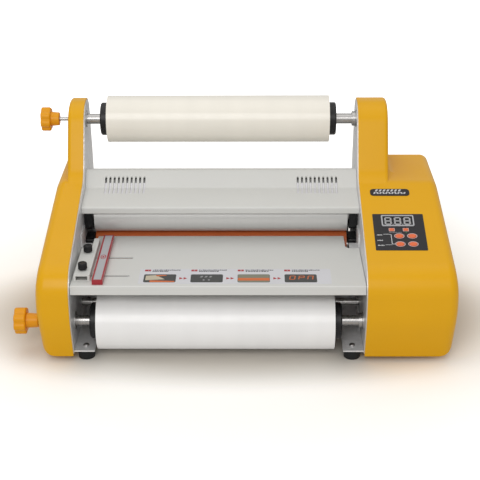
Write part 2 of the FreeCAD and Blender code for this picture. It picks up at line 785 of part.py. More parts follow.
def make_gears():
    idler_y, idler_z = idler_place()
    up = math.pi / 2
    lower_first = up
    upper_first = meshing_tooth(heat_teeth, lower_first, up, heat_teeth)
    to_idler = math.atan2(idler_z - heat_low_z, idler_y - heat_y)
    idler_first = meshing_tooth(heat_teeth, lower_first, to_idler, idler_teeth)
    to_pull = math.atan2(pull_low_z - idler_z, pull_y - idler_y)
    pull_first = meshing_tooth(idler_teeth, idler_first, to_pull, pull_teeth)
    pull_upper_first = meshing_tooth(pull_teeth, pull_first, up, pull_teeth)
    to_pinion = math.radians(pinion_angle)
    pinion_first = meshing_tooth(heat_teeth, lower_first, to_pinion, pinion_teeth)
    reach = gear_module * (heat_teeth + pinion_teeth) / 2
    motor_y = heat_y + reach * math.cos(to_pinion)
    motor_z = heat_low_z + reach * math.sin(to_pinion)
    write("lower_heat_gear", gear(heat_teeth, heat_y, heat_low_z, heat_journal, lower_first))
    write("upper_heat_gear", gear(heat_teeth, heat_y, heat_high_z, heat_journal, upper_first))
    write("idler_gear", gear(idler_teeth, idler_y, idler_z, 5 + run_gap, idler_first))
    for name, z, first in (("upper", pull_high_z, pull_upper_first),
                           ("lower", pull_low_z, pull_first)):
        write(name + "_pull_roller",
              ring(pull_radius, pull_journal, -pull_half, pull_half, pull_y, z),
              rod(pull_journal, -plate_outer - 3, gear_near + gear_width + 1, pull_y, z),
              gear(pull_teeth, pull_y, z, pull_journal, first))
    idler_pin = join([
        rod(5, plate_outer, gear_near + gear_width + 2.5, idler_y, idler_z),
        rod(7.5, plate_outer, gear_near - motion_gap, idler_y, idler_z),
        rod(7, gear_near + gear_width + motion_gap, gear_near + gear_width + 2.5,
            idler_y, idler_z)])
    tie_rods = [rod(tie_rod_radius, -plate_inner, plate_inner, y, z)
                for y, z in tie_rod_places]
    write("frame_rods", idler_pin, *tie_rods)
    shaft_end = gear_near + gear_width + 4
    pinion = gear(pinion_teeth, motor_y, motor_z, 4, pinion_first)
    write("motor_pinion", pinion, rod(4, gear_near, shaft_end + 8, motor_y, motor_z))
    half = gearbox_size / 2
    gearbox = box(shaft_end, shaft_end + gearbox_depth, motor_y - half, motor_y + half,
                  motor_z - half, motor_z + half)
    gearbox = gearbox.makeFillet(5, [edge for edge in gearbox.Edges
                                     if abs(edge.tangentAt(edge.FirstParameter).x) > 0.9])
    gearbox = gearbox.cut(rod(4 + run_gap, shaft_end - 1, shaft_end + 8 + motion_gap,
                              motor_y, motor_z))
    motor = rod(motor_radius, shaft_end + gearbox_depth, shaft_end + gearbox_depth + motor_length,
                motor_y, motor_z)
    motor = motor.makeFillet(3, [motor.Edges[0]])
    cap = rod(9, shaft_end + gearbox_depth + motor_length - 0.5,
              shaft_end + gearbox_depth + motor_length + 3, motor_y, motor_z)
    spread = half - 7
    places = [(motor_y - spread, motor_z - spread), (motor_y - spread, motor_z + spread),
              (motor_y + spread, motor_z - spread)]
    standoffs = [rod(4, plate_outer, shaft_end, y, z) for y, z in places]
    write("gear_motor", gearbox, join([motor, cap]), *standoffs)


# ---- film supplies ----
def chuck(radius, shaft, x0, direction, y, z):
    """Black end chuck with a plug that enters the core. direction points into the roll."""
    disc = rod(radius, 0, chuck_width, y, z)
    disc = disc.makeChamfer(1.5, [edge for edge in disc.Edges if lies_at(edge, 0, 0)])
    plug = rod(core_bore - 0.1, chuck_width - 0.5, chuck_width + 14, y, z)
    hub = join([disc, plug]).cut(rod(shaft, -1, chuck_width + 20, y, z))
    if direction < 0:
        hub = mirror(hub)
    hub.translate(V(x0, 0, 0))
    return hub


def make_supply(name, y, z, film_radius, shaft, chuck_radius):
    left_end = film_left - chuck_width
    right_end = film_right + chuck_width
    bar = rod(shaft, -shaft_half, shaft_half, y, z)
    bar = bar.cut(rod(stud_radius + run_gap, -shaft_half - 1, -shaft_half + 14, y, z))
    collar_start = plate_inner - bush_rim - motion_gap - collar_width
    collar = ring(shaft + 3.2, shaft, collar_start, collar_start + collar_width, y, z)
    write(name + "_shaft", bar, collar)
    write(name + "_chucks", chuck(chuck_radius, shaft, left_end, 1, y, z),
          chuck(chuck_radius, shaft, right_end, -1, y, z))
    core_outer = core_bore + core_wall
    write(name + "_core", ring(core_outer, core_bore, film_left, film_right, y, z))
    write(name + "_film_roll", ring(film_radius, core_outer, film_left, film_right, y, z))


def make_bushes(pull_bushes):
    bushes = []
    for shaft, y, z in ((upper_shaft_radius, upper_y, upper_z),
                        (lower_shaft_radius, lower_y, lower_z)):
        bush = join([rod(11, plate_inner, plate_outer + 2, y, z),
                     rod(12.2, plate_inner - bush_rim, plate_inner, y, z)])
        bush = bush.cut(rod(shaft + run_gap, 150, 250, y, z))
        bushes += [bush, mirror(bush)]
    write("shaft_bushes", *bushes, *pull_bushes)


# ---- tension knobs ----
def tension_knob(y, z, start, neck_length, head_length, head_radius):
    """Knob with a round neck and a lobed head, turned about X and pointing to -X."""
    lobe = head_radius * 0.38
    head = rod(head_radius * 0.88, -start - neck_length - head_length, -start - neck_length, y, z)
    lobes = []
    for index in range(knob_lobes):
        angle = 2 * math.pi * index / knob_lobes + math.pi / 2
        reach = head_radius - lobe
        lobes.append(rod(lobe, -start - neck_length - head_length, -start - neck_length,
                         y + reach * math.cos(angle), z + reach * math.sin(angle)))
    head = join([head] + lobes)
    rims = [edge for edge in head.Edges
            if lies_at(edge, 0, -start - neck_length - head_length)
            or lies_at(edge, 0, -start - neck_length)]
    head = head.makeFillet(2.2, rims)
    neck = Part.makeCone(neck_radius, neck_radius + 1, neck_length + 1, V(-start, y, z), V(-1, 0, 0))
    neck = neck.makeFillet(1.4, [edge for edge in neck.Edges if lies_at(edge, 0, -start)])
    knob = join([head, neck])
    return knob.cut(rod(stud_radius, -start - 10, -start + 1, y, z))


def make_knobs(pressure_springs):
    settings = (("upper", upper_y, upper_z, upper_knob_start, upper_neck_length,
                 upper_head_length, upper_head_radius),
                ("lower", lower_y, lower_z, lower_knob_start, lower_neck_length,
                 lower_head_length, lower_head_radius))
    springs = []
    washers = []
    for name, y, z, start, neck, head, radius in settings:
        write(name + "_tension_knob", tension_knob(y, z, start, neck, head, radius))
        write(name + "_knob_stud", rod(stud_radius, -start - 10, -shaft_half + 12, y, z))
        springs.append(coil(5.0, 0.7, 2.9, 3, -shaft_half - 10.6, y, z))
        washers.append(ring(8, stud_radius + 0.5, -shaft_half - 1.0, -shaft_half - 0.2, y, z))
    write("springs", *springs, *washers, *pressure_springs)


# ---- paper guide ----
def make_guide():
    low = tray_top + 0.2
    top = tray_top + guide_height
    skin = [(guide_left, guide_front, 0), (guide_right, guide_front, 0),
            (guide_right, guide_back, 0), (guide_step_x, guide_back, 0),
            (guide_step_x, guide_step_y, 0), (guide_left, guide_step_y, 0)]
    channel = extrude_z(outline(skin, plan_view), low, top)
    channel = channel.makeFillet(1.2, [
        edge for edge in channel.Edges
        if lies_at(edge, 2, top) and (lies_at(edge, 0, guide_left) or lies_at(edge, 0, guide_right))])
    hollow = extrude_z(outline(inset(skin, guide_wall), plan_view), low - 1, top - guide_wall)
    channel = channel.cut(hollow)
    channel = channel.cut(box(guide_left + 3, guide_right - 3, guide_front - 1,
                              guide_front + 3, low + 1.2, top - guide_wall - 0.6))
    channel = cut_all(channel, [peg(2.1, clamp_x, y, low, top + 1) for y in slot_rows])
    write("guide_channel", channel)
    bar_floor = tray_top + 0.2
    bar = plate_rect(bar_left, bar_right, bar_front, bar_back, bar_floor, tray_top + bar_height, 0.8)
    recess = plate_rect(bar_left + bar_rim, bar_right - bar_rim, bar_front + bar_rim,
                        bar_back - bar_rim, tray_top + bar_height - 1.2, tray_top + bar_height + 1, 0.4)
    write("guide_bar", bar.cut(recess))
    write("guide_bar_insert", plate_rect(bar_left + bar_rim, bar_right - bar_rim,
                                         bar_front + bar_rim, bar_back - bar_rim,
                                         tray_top + bar_height - 1.2,
                                         tray_top + bar_height - 0.2, 0.4))
    under = tray_top - tray_sheet - 0.3
    strips = []
    for y in slot_rows:
        strap = box(clamp_x - 6, bar_right - 2, y - 6, y + 6, under - 2, under)
        foot = box(bar_left + 4, bar_right - 4, y - 1.8, y + 1.8, under - 1, bar_floor)
        strap = join([strap, foot]).cut(peg(2.1, clamp_x, y, under - 5, under + 1))
        strips.append(strap)
    write("guide_straps", *strips)
    for label, y in (("front", slot_rows[0]), ("rear", slot_rows[1])):
        knob = peg(clamp_radius, clamp_x, y, top + 1.5, top + 1.5 + clamp_height)
        knob = knob.makeFillet(1.0, [edge for edge in knob.Edges
                                     if lies_at(edge, 2, top + 1.5 + clamp_height)])
        grooves = []
        count = 16
        for index in range(count):
            angle = 2 * math.pi * index / count
            grooves.append(peg(0.7, clamp_x + clamp_radius * math.cos(angle) * 1.04,
                               y + clamp_radius * math.sin(angle) * 1.04, top, top + 20))
        knob = cut_all(knob, grooves)
        stud = peg(2.0, clamp_x, y, under - 4, top + 2)
        seat = peg(4.5, clamp_x, y, top + 0.1, top + 1.6)
        write(label + "_clamp_knob", join([knob, stud, seat]))


# ---- control panel ----
def make_panel():
    label = plate_rect(panel_left, panel_right, panel_low, panel_high, 0, panel_sheet, 1.5)
    holes = [pill(button_length + 2 * seat_gap, button_width + 2 * seat_gap, x, y, -1, 2)
             for x in button_columns for y in button_rows]
    holes += [lens_hole(x, y) for x, y in lens_places]
    holes.append(plate_rect(display_left + 3, display_right - 3, display_low + 3,
                            display_high - 3, -1, 2, 1))
    write("control_panel_label", on_slope(cut_all(label, holes)))
    bezel = plate_rect(display_left, display_right, display_low, display_high, panel_sheet,
                       panel_sheet + bezel_height, 2.4)
    inner = plate_rect(display_left + bezel_wall, display_right - bezel_wall,
                       display_low + bezel_wall, display_high - bezel_wall, 0, 5, 1.2)
    write("display_bezel", on_slope(bezel.cut(inner)))
    write("display_window", on_slope(plate_rect(
        display_left + bezel_wall, display_right - bezel_wall, display_low + bezel_wall,
        display_high - bezel_wall, panel_sheet, panel_sheet + 0.8, 1.2)))
    module = box(display_left + 4, display_right - 4, display_low + 4, display_high - 4,
                 -board_depth, -0.4)
    board = plate_rect(panel_left + 2, panel_right + 10, panel_low + 1, panel_high + 1,
                       -board_depth - board_sheet, -board_depth, 1)
    lenses = []
    for x, y in lens_places:
        lens = Part.makeCylinder(lens_radius, 5.2 + panel_sheet, V(x, y, -4.4))
        lens = lens.makeFillet(0.9, [edge for edge in lens.Edges
                                     if lies_at(edge, 2, 0.8 + panel_sheet)])
        leg = Part.makeCylinder(1.2, board_depth - 4.2, V(x, y, -board_depth))
        lenses.append(on_slope(join([lens, leg])))
    write("indicator_lamps", *lenses)
    switches = []
    number = 0
    for y in reversed(button_rows):
        for x in button_columns:
            number += 1
            top = panel_sheet + button_proud
            cap = pill(button_length, button_width, x, y, -cover_wall - 2.2, top)
            cap = cap.makeFillet(0.9, [edge for edge in cap.Edges if lies_at(edge, 2, top)])
            flange = pill(button_length + 2.4, button_width + 2.4, x, y, -cover_wall - 2.2,
                          -cover_wall - 1.0)
            write("push_button_" + str(number), on_slope(join([cap, flange])))
            body = box(x - 3, x + 3, y - 3, y + 3, -board_depth, -board_depth + 4)
            plunger_top = -cover_wall - 2.2 - button_travel - 0.15
            plunger = Part.makeCylinder(1.6, plunger_top + board_depth - 3.5,
                                        V(x, y, -board_depth + 3.5))
            switches.append(on_slope(join([body, plunger])))
    write("display_board", on_slope(board), on_slope(module), *switches)
    badge = plate_rect(badge_left, badge_right, badge_low, badge_high, 0, badge_sheet, 5)
    badge = badge.makeChamfer(0.5, [edge for edge in badge.Edges if lies_at(edge, 2, badge_sheet)])
    write("badge_plate", on_slope(badge))


# ---- power board, inlet and switch ----
def make_electrics():
    board_x = plate_outer + 12
    board = box(board_x, board_x + board_sheet, 18, 118, 22, 92)
    posts = [rod(2.5, plate_outer, board_x, y, z) for y in (24, 112) for z in (28, 86)]
    face = board_x + board_sheet
    transformer = join([box(face, face + 34, 26, 66, 28, 74), box(face + 6, face + 28, 20, 72, 34, 68)])
    relay = box(face, face + 16, 78, 98, 28, 44)
    caps = [rod(6, face, face + 22, 84, 60), rod(6, face, face + 22, 100, 60)]
    write("power_board", board, *posts, transformer, relay, *caps)
    frame = box(inlet_x - 19, inlet_x + 19, back_y, back_y + 2.5, inlet_z - 14, inlet_z + 14)
    frame = frame.makeFillet(3, [edge for edge in frame.Edges
                                 if abs(edge.tangentAt(edge.FirstParameter).y) > 0.9])
    shell = box(inlet_x - 14, inlet_x + 14, back_y - 20, back_y + 1, inlet_z - 10, inlet_z + 10)
    hollow = box(inlet_x - 12.2, inlet_x + 12.2, back_y - 17, back_y + 5, inlet_z - 8.2, inlet_z + 8.2)
    pins = [box(inlet_x + x - 1, inlet_x + x + 1, back_y - 17.5, back_y - 2, inlet_z + z - 2,
                inlet_z + z + 2) for x, z in ((-7, -3.5), (7, -3.5), (0, 0.5))]
    socket = join([frame, shell]).cut(hollow)
    bezel = box(inlet_x - 12.5, inlet_x + 12.5, back_y, back_y + 1.8, rocker_z - 9.5, rocker_z + 9.5)
    housing = box(inlet_x - 10, inlet_x + 10, back_y - 16, back_y + 1, rocker_z - 7, rocker_z + 7)
    well = box(inlet_x - 8.6, inlet_x + 8.6, back_y - 9, back_y + 5, rocker_z - 5.6, rocker_z + 5.6)
    pin_hole = peg(1.5 + run_gap, inlet_x, back_y - 3, rocker_z - 7.5, rocker_z + 7.5)
    write("power_inlet", socket, join([bezel, housing]).cut(well).cut(pin_hole),
          *[pin.cut(socket) for pin in pins])
    profile = [(back_y - 5, -6.8, 0), (back_y + 3.2, -7.0, 0.8), (back_y + 0.8, 0, 6),
               (back_y + 1.6, 7.0, 0.8), (back_y - 5, 6.4, 0)]
    cam = outline(profile, lambda a, b: V(b, a, 0))
    rocker = extrude_z(cam, -5.2, 5.2)
    rocker.translate(V(inlet_x, 0, rocker_z))
    pin = peg(1.5, inlet_x, back_y - 3, rocker_z - 6.6, rocker_z + 6.6)
    write("power_rocker", join([rocker, pin]))


def make_labels_and_screws(foot_screws):
    write("tray_label", plate_rect(-106, 150.5, 7.5, 54, tray_top, tray_top + 0.25, 1.5))
    heads = []
    for x, z in ((-cover_edge - 14, 30), (-cover_edge - 12, 150), (cover_edge + 20, 30),
                 (cover_edge + 20, 150), (cover_edge + 98, 30), (cover_edge + 92, 150)):
        head = Part.makeCylinder(3.6, 1.8, V(x, back_y, z), V(0, 1, 0))
        head = head.makeFillet(0.9, [edge for edge in head.Edges if lies_at(edge, 1, back_y + 1.8)])
        socket = Part.makeBox(4.4, 2, 0.9, V(x - 2.2, back_y + 0.9, z - 0.45))
        cross = Part.makeBox(0.9, 2, 4.4, V(x - 0.45, back_y + 0.9, z - 2.2))
        heads.append(head.cut(socket).cut(cross))
    write("screws", *foot_screws, *heads)


make_covers()
foot_screws = make_base()
make_tray()
make_top()
pull_bushes, pressure_springs = make_rollers()
make_gears()
make_supply("upper_supply", upper_y, upper_z, upper_film_radius, upper_shaft_radius,
            upper_chuck_radius)
make_supply("lower_supply", lower_y, lower_z, lower_film_radius, lower_shaft_radius,
            lower_chuck_radius)
make_bushes(pull_bushes)
make_knobs(pressure_springs)
make_guide()
make_panel()
make_electrics()
make_labels_and_screws(foot_screws)
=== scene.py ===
import json
import math

import bpy
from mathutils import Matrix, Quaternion, Vector


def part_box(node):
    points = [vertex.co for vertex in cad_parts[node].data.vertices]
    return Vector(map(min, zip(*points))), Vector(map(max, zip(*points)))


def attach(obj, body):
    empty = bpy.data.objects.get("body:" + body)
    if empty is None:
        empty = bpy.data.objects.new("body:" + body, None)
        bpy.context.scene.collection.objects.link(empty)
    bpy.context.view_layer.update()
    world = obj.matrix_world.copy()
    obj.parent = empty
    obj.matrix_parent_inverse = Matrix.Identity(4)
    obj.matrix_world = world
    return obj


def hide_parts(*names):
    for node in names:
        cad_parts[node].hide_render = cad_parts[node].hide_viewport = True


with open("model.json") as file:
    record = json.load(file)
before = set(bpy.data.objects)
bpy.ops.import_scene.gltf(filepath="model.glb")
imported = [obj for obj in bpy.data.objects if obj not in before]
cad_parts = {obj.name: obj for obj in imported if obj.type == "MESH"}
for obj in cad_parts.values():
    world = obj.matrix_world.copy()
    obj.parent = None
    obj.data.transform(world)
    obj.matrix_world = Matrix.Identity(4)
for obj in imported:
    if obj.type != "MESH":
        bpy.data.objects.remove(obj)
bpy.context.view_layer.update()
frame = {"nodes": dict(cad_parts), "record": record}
nodes = frame["nodes"]
MM = 0.001


# ---------------------------------------------------------------- materials
class Look:
    """A procedural material, drawn from the piece's own coordinates in metres."""

    def __init__(self, name, colour, roughness, metallic=0.0, coat=0.0, alpha=1.0,
                 specular=0.5):
        self.material = bpy.data.materials.new(name)
        self.material.use_nodes = True
        self.tree = self.material.node_tree
        self.shader = self.tree.nodes["Principled BSDF"]
        self.colour = (*colour, 1.0)
        self.roughness = roughness
        self.normal = None
        self.set("Base Color", self.colour)
        self.set("Roughness", roughness)
        self.set("Metallic", metallic)
        self.set("Coat Weight", coat)
        self.set("Coat Roughness", 0.12)
        self.set("Specular IOR Level", specular)
        self.set("Alpha", alpha)
        self.place = self.node("ShaderNodeTexCoord").outputs["Object"]

    def set(self, socket, value):
        self.shader.inputs[socket].default_value = value

    def node(self, kind, **values):
        made = self.tree.nodes.new(kind)
        for key, value in values.items():
            setattr(made, key, value)
        return made

    def link(self, out, into):
        self.tree.links.new(out, into)

    def noise(self, scale, detail=3.0, stretch=(1, 1, 1), centre=(0, 0, 0)):
        """Noise from 0 to 1. Stretch above 1 makes it change faster along that axis."""
        mapping = self.node("ShaderNodeMapping")
        mapping.inputs["Location"].default_value = [-c * s for c, s in zip(centre, stretch)]
        mapping.inputs["Scale"].default_value = stretch
        self.link(self.place, mapping.inputs["Vector"])
        noise = self.node("ShaderNodeTexNoise")
        noise.inputs["Scale"].default_value = scale
        noise.inputs["Detail"].default_value = detail
        self.link(mapping.outputs["Vector"], noise.inputs["Vector"])
        return noise.outputs["Fac"]

    def spangle(self, scale):
        """Cells with a flat random value, like the crystals of a zinc coat."""
        cells = self.node("ShaderNodeTexVoronoi")
        cells.inputs["Scale"].default_value = scale
        self.link(self.place, cells.inputs["Vector"])
        return cells.outputs["Color"]

    def rings(self, centre, per_metre):
        """Height that rises and falls with the distance from an axis along X."""
        apart = self.node("ShaderNodeVectorMath", operation="SUBTRACT")
        apart.inputs[1].default_value = centre
        self.link(self.place, apart.inputs[0])
        flat = self.node("ShaderNodeVectorMath", operation="MULTIPLY")
        flat.inputs[1].default_value = (0, 1, 1)
        self.link(apart.outputs["Vector"], flat.inputs[0])
        away = self.node("ShaderNodeVectorMath", operation="LENGTH")
        self.link(flat.outputs["Vector"], away.inputs[0])
        noise = self.node("ShaderNodeTexNoise", noise_dimensions="1D")
        noise.inputs["Scale"].default_value = per_metre
        noise.inputs["Detail"].default_value = 2.0
        self.link(away.outputs["Value"], noise.inputs["W"])
        return noise.outputs["Fac"]

    def between(self, fac, low, high):
        spread = self.node("ShaderNodeMapRange")
        spread.inputs["From Min"].default_value = 0.3
        spread.inputs["From Max"].default_value = 0.7
        spread.inputs["To Min"].default_value = low
        spread.inputs["To Max"].default_value = high
        self.link(fac, spread.inputs["Value"])
        return spread.outputs["Result"]

    def tint(self, fac, amount, other=None):
        """Base colour varies with fac, by a share of its own value or towards another colour."""
        mix = self.node("ShaderNodeMix", data_type="RGBA")
        mix.inputs["A"].default_value = self.colour
        darker = tuple(c * (1 - amount) for c in self.colour[:3])
        mix.inputs["B"].default_value = (*(other or darker), 1.0)
        self.link(self.between(fac, 0.0, 1.0), mix.inputs["Factor"])
        self.link(mix.outputs["Result"], self.shader.inputs["Base Color"])
        return self

    def gloss(self, fac, spread):
        made = self.between(fac, self.roughness - spread, self.roughness + spread)
        self.link(made, self.shader.inputs["Roughness"])
        return self

    def bump(self, fac, depth):
        bump = self.node("ShaderNodeBump")
        bump.inputs["Strength"].default_value = 1.0
        bump.inputs["Distance"].default_value = depth
        self.link(fac, bump.inputs["Height"])
        if self.normal is not None:
            self.link(self.normal, bump.inputs["Normal"])
        self.normal = bump.outputs["Normal"]
        self.link(self.normal, self.shader.inputs["Normal"])
        return self


def moulded(name, colour, roughness, coat=0.0, grain=900.0, depth=2e-5, specular=0.3):
    """Moulded or printed plastic: faint mottling and a fine grain."""
    look = Look(name, colour, roughness, coat=coat, specular=specular)
    look.tint(look.noise(9.0), 0.04)
    look.gloss(look.noise(25.0), 0.04)
    return look.bump(look.noise(grain, 2.0), depth)


def turned(name, colour, roughness, metallic=1.0, banding=0.08):
    """Metal turned about X, with fine rings along its length."""
    look = Look(name, colour, roughness, metallic=metallic)
    look.tint(look.noise(4.0, stretch=(60, 1, 1)), banding)
    look.gloss(look.noise(5.0, stretch=(200, 1, 1)), 0.75 * banding)
    return look.bump(look.noise(6.0, stretch=(400, 1, 1)), 6e-6)


def wound_film(name, colour, node):
    """Glossy milky film: rings on the ends, faint bands and a soft sheen on the roll."""
    low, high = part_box(node)
    look = Look(name, colour, 0.33, coat=0.25)
    look.tint(look.noise(7.0, stretch=(5, 1, 1)), 0.035)
    look.gloss(look.noise(3.0, stretch=(40, 1, 1)), 0.05)
    look.bump(look.rings((low + high) / 2, 2600.0), 1.2e-4)
    return look.bump(look.noise(14.0, 1.0, stretch=(4, 1, 1)), 6e-5)


def powder_coat(name, colour):
    look = Look(name, colour, 0.42)
    look.tint(look.noise(6.0), 0.025)
    look.gloss(look.noise(40.0), 0.05)
    return look.bump(look.noise(1400.0, 2.0), 3e-5)


def zinc(name, colour):
    look = Look(name, colour, 0.42, metallic=0.45)
    look.tint(look.spangle(140.0), 0.10)
    look.gloss(look.noise(12.0, stretch=(1, 1, 30)), 0.09)
    return look.bump(look.noise(30.0, stretch=(1, 1, 24)), 1.2e-5)


def silicone(name, colour):
    look = Look(name, colour, 0.46)
    look.tint(look.noise(60.0, stretch=(1, 3, 3)), 0.12)
    look.gloss(look.noise(90.0), 0.08)
    return look.bump(look.noise(1500.0), 2e-5)


def cardboard(name, colour):
    look = Look(name, colour, 0.85)
    look.tint(look.noise(500.0, stretch=(1, 3, 3)), 0.3)
    return look.bump(look.noise(900.0), 8e-5)


looks = {
    "yellow_shell": moulded("yellow_shell", (0.775, 0.398, 0.005), 0.32, 0.0, 700.0, 1.5e-5, 0.22),
    "yellow_knob": moulded("yellow_knob", (0.78, 0.335, 0.006), 0.32, 0.0, 900.0, 2e-5, 0.25),
    "zinc_plate": zinc("zinc_plate", (0.80, 0.80, 0.80)),
    "white_coat": powder_coat("white_coat", (0.66, 0.66, 0.635)),
    "bright_steel": turned("bright_steel", (0.42, 0.41, 0.40), 0.30),
    "roller_grey": turned("roller_grey", (0.66, 0.655, 0.64), 0.36, 0.3, 0.02),
    "orange_silicone": silicone("orange_silicone", (0.55, 0.13, 0.035)),
    "black_plastic": moulded("black_plastic", (0.010, 0.010, 0.011), 0.36, 0.0, 1500.0),
    "black_rubber": moulded("black_rubber", (0.014, 0.014, 0.014), 0.68, 0.0, 800.0, 6e-5),
    "core_board": cardboard("core_board", (0.36, 0.26, 0.16)),
    "red_trim": moulded("red_trim", (0.36, 0.020, 0.030), 0.30, 0.2),
    "grey_insert": moulded("grey_insert", (0.46, 0.46, 0.48), 0.38, 0.0, 500.0),
    "panel_film": moulded("panel_film", (0.016, 0.015, 0.018), 0.36, 0.0, 1800.0, 1.5e-5),
    "orange_key": moulded("orange_key", (0.78, 0.150, 0.045), 0.33, 0.2),
    "board_green": moulded("board_green", (0.015, 0.085, 0.03), 0.4, 0.1, 400.0, 4e-5),
    "label_film": moulded("label_film", (0.68, 0.68, 0.71), 0.32, 0.15, 1500.0, 1e-5),
    "louvre": powder_coat("louvre", (0.74, 0.73, 0.76)),
    "bush_steel": turned("bush_steel", (0.46, 0.45, 0.44), 0.36),
    "gear_nylon": moulded("gear_nylon", (0.66, 0.65, 0.58), 0.45, 0.0, 600.0),
    "motor_metal": moulded("motor_metal", (0.17, 0.18, 0.19), 0.4, 0.0, 700.0),
    "lamp_ceramic": moulded("lamp_ceramic", (0.76, 0.73, 0.66), 0.5, 0.0, 600.0, 4e-5),
}
glass = Look("display_glass", (0.02, 0.02, 0.024), 0.08, alpha=0.22)
glass.gloss(glass.noise(30.0), 0.03)
looks["display_glass"] = glass
film_looks = {
    "upper_supply_film_roll": wound_film("film_upper", (0.87, 0.83, 0.74),
                                         "upper_supply_film_roll"),
    "lower_supply_film_roll": wound_film("film_lower", (0.88, 0.87, 0.86),
                                         "lower_supply_film_roll"),
}
looks["film"] = film_looks["lower_supply_film_roll"]

ink = {
    "ink_white": moulded("ink_white", (0.62, 0.62, 0.63), 0.4),
    "ink_pale": moulded("ink_pale", (0.30, 0.30, 0.31), 0.4),
    "ink_silver": moulded("ink_silver", (0.58, 0.58, 0.60), 0.3, 0.2),
    "ink_red": moulded("ink_red", (0.42, 0.020, 0.030), 0.4),
    "ink_grey": moulded("ink_grey", (0.014, 0.014, 0.022), 0.5),
    "ink_dark": moulded("ink_dark", (0.045, 0.048, 0.048), 0.35, 0.2),
    "ink_orange": moulded("ink_orange", (0.66, 0.16, 0.045), 0.4, 0.1),
    "ink_sand": moulded("ink_sand", (0.56, 0.50, 0.38), 0.4),
    "ink_olive": moulded("ink_olive", (0.23, 0.23, 0.17), 0.4),
    "ink_green": moulded("ink_green", (0.03, 0.22, 0.05), 0.4),
    "ink_rim": moulded("ink_rim", (0.66, 0.44, 0.42), 0.4, 0.1),
    "segment": moulded("segment", (0.64, 0.64, 0.65), 0.4),
    "ink_black": moulded("ink_black", (0.008, 0.008, 0.009), 0.3),
}

slot_of = {s["node"]: s["material_slot"] for s in frame["record"]["subparts"]}
for name, cad in nodes.items():
    look = film_looks.get(name) or looks[slot_of[name]]
    if not cad.data.materials:
        cad.data.materials.append(None)
    for place in cad.material_slots:
        place.material = look.material


# ---------------------------------------------------------------- pieces
def piece(name, corners, faces, look, body="root", smooth=False):
    """A mesh piece in the row frame, which moves with a CAD body."""
    mesh = bpy.data.meshes.new(name)
    mesh.from_pydata([tuple(c) for c in corners], [], faces)
    mesh.update()
    made = bpy.data.objects.new(name, mesh)
    bpy.context.scene.collection.objects.link(made)
    made.data.materials.append(look.material)
    if smooth:
        mesh.shade_smooth()
        mesh.set_sharp_from_angle(angle=math.radians(40))
    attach(made, body)
    return made


class Sheet:
    """A flat face of the object: u across, v up the face, h out of it, all in millimetres."""

    def __init__(self, origin, across, up):
        self.origin = Vector(origin)
        self.across = Vector(across).normalized()
        self.up = Vector(up).normalized()
        self.out = self.across.cross(self.up)

    def at(self, u, v, h):
        return self.origin + (self.across * u + self.up * v + self.out * h) * MM


def raised(name, sheet, outlines, height, look, base=0.0, body="root", crown=0.0):
    """Low prisms on a sheet, one for each outline; a crown draws the top edge in by that much."""
    corners, faces = [], []
    for outline in outlines:
        start, count = len(corners), len(outline)
        middle = [sum(c[i] for c in outline) / count for i in (0, 1)]
        levels = [(base, 0.0), (base + height, 0.0)]
        if crown:
            levels = [(base, 0.0), (base + height - crown, 0.0), (base + height, crown)]
        for h, inset in levels:
            for u, v in outline:
                away = max(math.hypot(u - middle[0], v - middle[1]), 1e-6)
                keep = 1 - inset / away
                corners.append(sheet.at(middle[0] + (u - middle[0]) * keep,
                                        middle[1] + (v - middle[1]) * keep, h))
        rows = len(levels)
        for row in range(rows - 1):
            for i in range(count):
                j = (i + 1) % count
                a = start + row * count
                faces.append((a + i, a + j, a + count + j, a + count + i))
        faces.append(tuple(start + (rows - 1) * count + i for i in range(count)))
        faces.append(tuple(start + i for i in reversed(range(count))))
    return piece(name, corners, faces, look, body)


def bar(u, v, width, height, lean=0.0):
    """Rectangle centred at u, v; lean shifts its top to the right."""
    w, t = width / 2, height / 2
    return [(u - w - lean, v - t), (u + w - lean, v - t), (u + w + lean, v + t),
            (u - w + lean, v + t)]


def rounded(u, v, width, height, radius, steps=6):
    outline = []
    for k, (su, sv) in enumerate(((1, -1), (1, 1), (-1, 1), (-1, -1))):
        for i in range(steps + 1):
            turn = math.radians(-90 + 90 * k + 90 * i / steps)
            outline.append((u + su * (width / 2 - radius) + radius * math.cos(turn),
                            v + sv * (height / 2 - radius) + radius * math.sin(turn)))
    return outline


def oval_ring(u, v, width, height, rim, steps=40):
    """An oval band in short straight pieces."""
    made = []
    for i in range(steps):
        a, b = (2 * math.pi * k / steps for k in (i, i + 1))
        made.append([(u + (width / 2 + s) * math.cos(t), v + (height / 2 + s) * math.sin(t))
                     for t, s in ((a, 0), (a, rim), (b, rim), (b, 0))])
    return made


def seven_segments(u, v, width, height, stroke, lit="abcdefg", lean=0.0):
    """One digit as up to seven bars."""
    w, t = width / 2 - stroke / 2, height / 2 - stroke / 2
    short = width - stroke * 1.3
    tall = height / 2 - stroke * 0.8
    spots = {"a": (0, t, short, stroke), "g": (0, 0, short, stroke), "d": (0, -t, short, stroke),
             "b": (w, t / 2, stroke, tall), "c": (w, -t / 2, stroke, tall),
             "e": (-w, -t / 2, stroke, tall), "f": (-w, t / 2, stroke, tall)}
    return [bar(u + du + lean * dv, v + dv, bw, bh, lean * bh / 2)
            for du, dv, bw, bh in (spots[k] for k in lit)]


def written(u, v, width, height, count, seed):
    """A row of small marks of uneven length, in place of a line of text."""
    step = width / count
    marks = []
    for i in range(count):
        share = 0.6 + 0.3 * (((i * 7 + seed * 3) % 5) / 4)
        tall = height * (0.7 + 0.3 * (((i * 5 + seed) % 3) / 2))
        marks.append(bar(u + (i + 0.5) * step, v - (height - tall) / 2, step * share, tall))
    return marks


INK = 0.04           # how far print stands off its sheet, in millimetres

